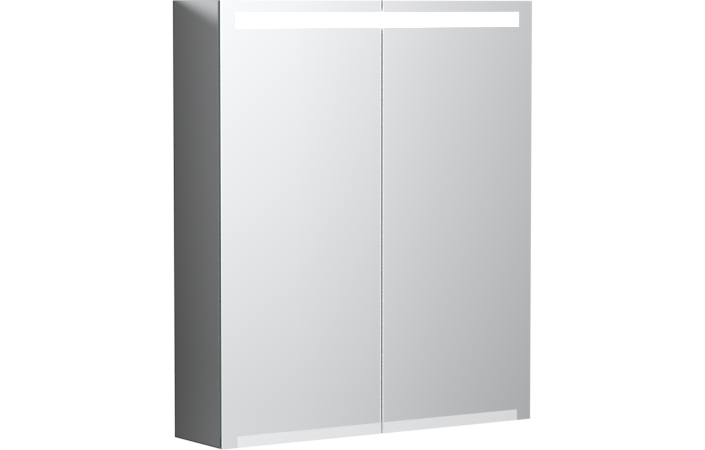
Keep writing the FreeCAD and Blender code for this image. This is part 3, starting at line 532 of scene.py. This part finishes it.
def screw(bm, at, way, r, h, shank, length, turn, flat=0.60):
    """Pan-head screw with a cross recess; `at` is under the head, which faces `way`."""
    place = stand(at, way, turn)
    pts = [(0, -length), (shank * 0.35, -length), (shank, -length + shank * 1.6), (shank, 0), (r * 0.96, 0), (r, h * 0.08),
           (r, h * 0.45), (r * 0.95, h * 0.70), (r * 0.84, h * 0.88), (r * 0.70, h * 0.97), (r * flat, h)]
    rim = lathe(bm, pts, place, 28)[-1]
    a, w = r * 0.50, r * 0.115
    star = [(w, w), (w, a), (-w, a), (-w, w), (-a, w), (-a, -w), (-w, -w), (-w, -a), (w, -a), (w, -w), (a, -w), (a, w)]
    top = [bm.verts.new(place @ Vector((x, y, h))) for x, y in star]
    fill_between(bm, rim, [top])
    mid = [bm.verts.new(place @ Vector((x * 0.86, y * 0.86, h * 0.72))) for x, y in star]
    low = [bm.verts.new(place @ Vector((x * 0.55, y * 0.55, h * 0.30))) for x, y in star]
    sink(bm, top, [mid, low])


def finish_mesh(bm, name, sharp=38.0):
    bmesh.ops.recalc_face_normals(bm, faces=bm.faces[:])
    for f in bm.faces:
        f.smooth = True
    me = bpy.data.meshes.new(name + ".detail")
    bm.to_mesh(me)
    bm.free()
    me.set_sharp_from_angle(angle=math.radians(sharp))
    return adopt(me, name)


# screws: hinge plates, wall rails and service cover
turns = (0.2, 1.1, 0.6, 0.9, 0.35, 1.3, 0.05, 0.75)
bm = bmesh.new()
k = 0
for s in (-1, 1):
    for z in (0.095, 0.605):
        for dz_ in (-0.016, 0.016):
            screw(bm, (s * (W2 - 0.0166), AXIS_Y + 0.048, z + dz_), (-s, 0, 0), 0.0038, 0.0022, 0.0021, 0.0098, turns[k])
            k += 1
finish_mesh(bm, "hinge_plate_screws")
bm = bmesh.new()
k = 0
for z in (0.615, 0.067):
    for s in (-1, 1):
        screw(bm, (s * (IN - 0.002), -0.009, z), (-s, 0, 0), 0.0036, 0.0024, 0.00195, 0.009, turns[k + 2])
        k += 1
finish_mesh(bm, "rail_screws")
bm = bmesh.new()
k = 0
for s in (-1, 1):
    for y in (-0.096, -0.036):
        screw(bm, (s * (IN - 0.012), y, 0.640), (0, 0, -1), 0.0034, 0.0016, 0.00175, 0.0069, turns[k + 1])
        k += 1
finish_mesh(bm, "service_cover_screws")

# shelf supports: shank in the board, grooved head with a rounded end
bm = bmesh.new()
for level in (2, 7, 12):
    z = 0.132 + 0.032 * level
    for y in (-0.108, -0.040):
        for s in (-1, 1):
            lathe(bm, [(0, -0.0075), (0.0019, -0.0075), (0.00245, -0.0069), (0.00245, 0), (0.0037, 0), (0.0040, 0.0003),
                       (0.0040, 0.0010), (0.0036, 0.0013), (0.0036, 0.0017), (0.0040, 0.0020), (0.0040, 0.0060),
                       (0.00388, 0.0065), (0.0035, 0.0069), (0.0029, 0.0070), (0, 0.0070)], stand((s * IN, y, z), (-s, 0, 0)), 32)
finish_mesh(bm, "shelf_support_pins", 30.0)

# door bumpers: low clear domes
for tag, s in (("left", -1), ("right", 1)):
    bm = bmesh.new()
    for z in (0.693, 0.029):
        lathe(bm, [(0, 0), (0.0040, 0), (0.0040, 0.0001), (0.00385, 0.0003), (0.0034, 0.00050), (0.0026, 0.00067),
                   (0.0014, 0.00077), (0, 0.0008)], stand((s * 0.014, -0.143, z), (0, 1, 0)), 32)
    finish_mesh(bm, tag + "_door_bumpers", 60.0)

# cable grommet with rolled lips
bm = bmesh.new()
lathe(bm, [(0.0062, 0), (0.0108, 0), (0.01165, 0.0003), (0.0120, 0.0010), (0.0117, 0.0017), (0.0110, 0.0020), (0.0089, 0.0020),
           (0.0089, 0.0060), (0.0110, 0.0060), (0.0117, 0.0063), (0.0120, 0.0070), (0.01165, 0.0077), (0.0108, 0.0080),
           (0.0062, 0.0080), (0.0056, 0.0076), (0.0055, 0.0070), (0.0055, 0.0010), (0.0056, 0.0004)],
      stand((-0.150, -0.022, 0.668), (0, 1, 0)), 48, closed=True)
finish_mesh(bm, "cable_grommet", 60.0)

# socket insert: flange, round well and two contact holes in its floor
bm = bmesh.new()
place = stand((0.188, -0.1066, 0.612), (0, 1, 0))
rings = lathe(bm, [(0, 0.0185), (0.0207, 0.0185), (0.0213, 0.0179), (0.0213, 0.0016), (0.0236, 0.0016), (0.0240, 0.0012), (0.0240, 0.0007),
                   (0.02375, 0.0003), (0.0233, 0.0001), (0.0226, 0), (0.0206, 0), (0.0200, 0.00015), (0.0197, 0.0005),
                   (0.0195, 0.0010), (0.0195, 0.0132), (0.01935, 0.0137), (0.0190, 0.0140)], place, 72)
holes, tunnels = [], []
for sx_ in (-0.0095, 0.0095):
    ring = [bm.verts.new(place @ Vector((sx_ + 0.0025 * math.cos(2 * math.pi * i / 24), 0.0025 * math.sin(2 * math.pi * i / 24), 0.0140)))
            for i in range(24)]
    deep = [bm.verts.new(place @ Vector((sx_ + 0.0024 * math.cos(2 * math.pi * i / 24), 0.0024 * math.sin(2 * math.pi * i / 24), 0.0180)))
            for i in range(24)]
    holes.append(ring)
    tunnels.append((ring, deep))
fill_between(bm, rings[-1], holes)
for ring, deep in tunnels:
    sink(bm, ring, [deep])
finish_mesh(bm, "socket_insert", 40.0)

# rounded edges on the boards, folded sheet, mouldings and hinge parts
for name in ("left_side_panel", "right_side_panel", "top_panel", "bottom_panel"):
    refined(name, 0.0005, 0.006)
for name in ("top_wall_rail", "bottom_wall_rail"):
    refined(name, 0.0009, 0.006, 3)
refined("service_cover", 0.0006, 0.006, 3)
refined("light_housing", 0.0003, 0.004)
refined("light_end_caps", 0.0005, 0.001, 3)
refined("fittings_box", 0.0005, 0.006)
refined("switch_frame", 0.0005, 0.002, 3)
refined("switch_rocker", 0.0006, 0.002, 3)
refined("led_driver", 0.0006, 0.003)
refined("terminal_block", 0.0004, 0.003)
refined("rail_end_brackets", 0.0003, 0.003)
refined("hinge_mounting_plates", 0.0004, 0.0015, 3)
refined("hinge_arms", 0.0003, 0.0015)
for tag in ("left", "right"):
    refined(tag + "_hinge_glue_plates", 0.0004, 0.0015, 3)
    refined(tag + "_hinge_cups", 0.0002, 0.004, 1)
    refined(tag + "_outer_links", 0.0003, 0.0, 2)
    refined(tag + "_inner_links", 0.0003, 0.0, 2)

# --------------------------------------------------------------------- stage
FLOOR_Z = -3.2 - UP


def floor():
    me = bpy.data.meshes.new("floor")
    bm = bmesh.new()
    bmesh.ops.create_circle(bm, cap_ends=True, segments=128, radius=16.0)
    bm.to_mesh(me)
    bm.free()
    o = bpy.data.objects.new("floor", me)
    o.location = (0.0, 0.0, FLOOR_Z)
    scene.collection.objects.link(o)
    m, nt, p = material("pale_floor")
    vec, x, y, z = coords(nt)
    cloud = noise(nt, vec, 0.8, 3.0)
    c = mix_colour(nt, remap(nt, cloud, 0.35, 0.7), (0.86, 0.86, 0.865), (0.82, 0.82, 0.825))
    wire(nt, c, p.inputs["Base Color"])
    p.inputs["Roughness"].default_value = 0.9
    d = node(nt, "VectorMath", operation="LENGTH")
    wire(nt, vec, d.inputs[0])
    fade = remap(nt, d.outputs["Value"], 4.0, 15.0, 1.0, 0.0, smooth=True)
    wire(nt, fade, p.inputs["Alpha"])
    me.materials.append(m)
    o.visible_glossy = False


floor()

# --------------------------------------------------------------------- world
world = bpy.data.worlds.new("studio")
scene.world = world
world.use_nodes = True
wt = world.node_tree
for n in list(wt.nodes):
    wt.nodes.remove(n)
out = wt.nodes.new("ShaderNodeOutputWorld")
tc = wt.nodes.new("ShaderNodeTexCoord")
sep = wt.nodes.new("ShaderNodeSeparateXYZ")
wt.links.new(tc.outputs["Generated"], sep.inputs[0])
dx, dy, dz = sep.outputs


def wmath(op, a, b=None, clamp=False):
    return math_node(wt, op, a, b, clamp)


# azimuth from -Y towards +X in degrees, and elevation in degrees
az = wmath("MULTIPLY", wmath("ARCTAN2", dx, wmath("MULTIPLY", dy, -1.0)), 180.0 / math.pi)
el = wmath("MULTIPLY", wmath("ARCSINE", dz), 180.0 / math.pi)


def curve(value, pts):
    """Piecewise-linear value over the stops, as a chain of clamped ramps."""
    total = None
    for (a0, v0), (a1, v1) in zip(pts, pts[1:]):
        part = remap(wt, value, a0, a1, 0.0, v1 - v0, smooth=False)
        total = part if total is None else wmath("ADD", total, part)
    return wmath("ADD", total, pts[0][1])


across = curve(az, [(-180, 0.30), (-154, 0.30), (-150.75, 0.084), (-149.6, 0.180), (-146, 0.26), (-120, 0.55), (-75, 0.95), (-62, 1.30), (-50, 1.25), (-30, 0.90),
                    (0, 0.80), (22, 0.98), (30.4, 0.925), (32.0, 0.872), (33.6, 0.770), (34.9, 0.672), (36.7, 0.555),
                    (41, 0.33), (50, 0.28), (64, 0.45), (100, 0.80), (140, 0.50), (180, 0.30)])
tall = curve(el, [(-90, 0.80), (-40, 0.70), (-16, 0.72), (-8.1, 0.800), (-6.4, 0.874), (-3.9, 0.976), (-1.4, 1.062),
                  (0.1, 1.12), (6, 1.20), (30, 1.35), (90, 1.6)])
level = wmath("MULTIPLY", across, tall)
# behind the cabinet the room is dark below the level of the camera and light above it
off = wmath("ADD", az, 150.18)
lift_edge = wmath("SUBTRACT", el, wmath("MULTIPLY", off, -0.48))
soft = remap(wt, off, -0.45, 0.45, 0.05, 0.27)
lift = remap(wt, wmath("DIVIDE", lift_edge, soft), -1.0, 1.0, 0.0, 1.0, smooth=True)
back_side = wmath("LESS_THAN", az, -100.0)
glow = remap(wt, el, -7.3, -9.6, 0.0, 0.22)
level = wmath("MULTIPLY", level, wmath("ADD", 1.0, wmath("MULTIPLY", glow, back_side)))
upper = wmath("MULTIPLY", lift, back_side)
mixn = wt.nodes.new("ShaderNodeMix")
mixn.data_type = "FLOAT"
wt.links.new(upper, mixn.inputs[0])
wt.links.new(level, mixn.inputs[2])
mixn.inputs[3].default_value = 0.585
val = mixn.outputs[0]
comb = wt.nodes.new("ShaderNodeCombineColor")
wt.links.new(wmath("MULTIPLY", val, 0.992), comb.inputs[0])
wt.links.new(wmath("MULTIPLY", val, 0.996), comb.inputs[1])
wt.links.new(wmath("MULTIPLY", val, 1.010), comb.inputs[2])
bg_room = wt.nodes.new("ShaderNodeBackground")
wt.links.new(comb.outputs[0], bg_room.inputs["Color"])
bg_room.inputs["Strength"].default_value = 1.0
bg_white = wt.nodes.new("ShaderNodeBackground")
bg_white.inputs["Color"].default_value = (1, 1, 1, 1)
bg_white.inputs["Strength"].default_value = 1.0
lp = wt.nodes.new("ShaderNodeLightPath")
ms = wt.nodes.new("ShaderNodeMixShader")
wt.links.new(lp.outputs["Is Camera Ray"], ms.inputs[0])
wt.links.new(bg_room.outputs[0], ms.inputs[1])
wt.links.new(bg_white.outputs[0], ms.inputs[2])
wt.links.new(ms.outputs[0], out.inputs["Surface"])


# -------------------------------------------------------------------- lights
def area(name, at, aim, size, power):
    ld = bpy.data.lights.new(name, "AREA")
    ld.shape = "RECTANGLE"
    ld.size, ld.size_y = size
    ld.energy = power
    o = bpy.data.objects.new(name, ld)
    o.location = (at[0], at[1], at[2] - UP)
    o.rotation_euler = (Vector(aim) - Vector(at)).to_track_quat("-Z", "Y").to_euler()
    o.visible_glossy = False
    scene.collection.objects.link(o)


area("key", (-2.2, -3.4, 2.6), (0, -0.1, 0.35), (2.2, 1.6), 42.0)
area("fill", (2.8, -2.6, 1.2), (0, -0.1, 0.35), (2.0, 2.0), 16.0)
area("rear", (0.6, 2.8, 2.2), (0, 0.0, 0.35), (2.4, 1.6), 26.0)
area("low", (0.0, -1.6, -1.0), (0, -0.1, 0.2), (2.0, 1.2), 10.0)
